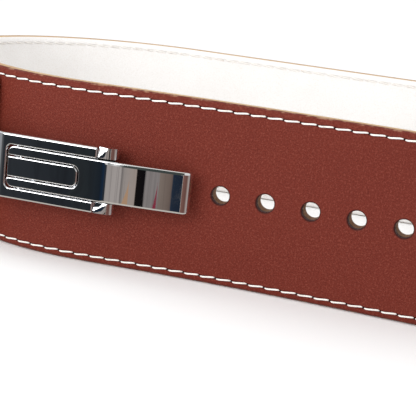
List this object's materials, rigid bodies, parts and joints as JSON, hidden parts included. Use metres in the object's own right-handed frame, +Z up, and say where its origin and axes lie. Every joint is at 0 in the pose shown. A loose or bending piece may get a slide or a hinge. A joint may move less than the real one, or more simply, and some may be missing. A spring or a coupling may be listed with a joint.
{
  "type": "lever weightlifting belt",
  "caption": "Red leather lever weightlifting belt, 102 mm wide and 11 mm thick, buckled in a ring with a polished hook lever.",
  "frame": {"origin": "under the middle of the belt, at the height of its lower edge", "axes": "+X along the front from buckle to holes, +Y from the front to the back, +Z up the width of the belt"},
  "size_m": [0.4666, 0.2588, 0.1016],
  "materials": {
    "red_leather": "satin",
    "tan_leather": "matte",
    "polished_steel": "polished"
  },
  "bodies": {
    "belt": {"facing_leather": "red_leather", "core_leather": "tan_leather", "frame_plate": "polished_steel", "base_tray": "polished_steel", "inner_tab": "polished_steel", "hinge_pin": "polished_steel", "mounting_screw_1": "polished_steel", "mounting_screw_2": "polished_steel", "mounting_screw_3": "polished_steel", "mounting_screw_4": "polished_steel", "post_nut_1": "polished_steel", "post_nut_2": "polished_steel", "post_nut_3": "polished_steel", "post_nut_4": "polished_steel"},
    "lever": {"hook_lever": "polished_steel"}
  },
  "joints": [
    {"name": "lever_hinge", "type": "hinge", "parent": "belt", "child": "lever", "pos_m": [-0.13295, -0.12562, 0.0508], "axis": [0, 0, -1], "range_deg": [0, 105]}
  ]
}
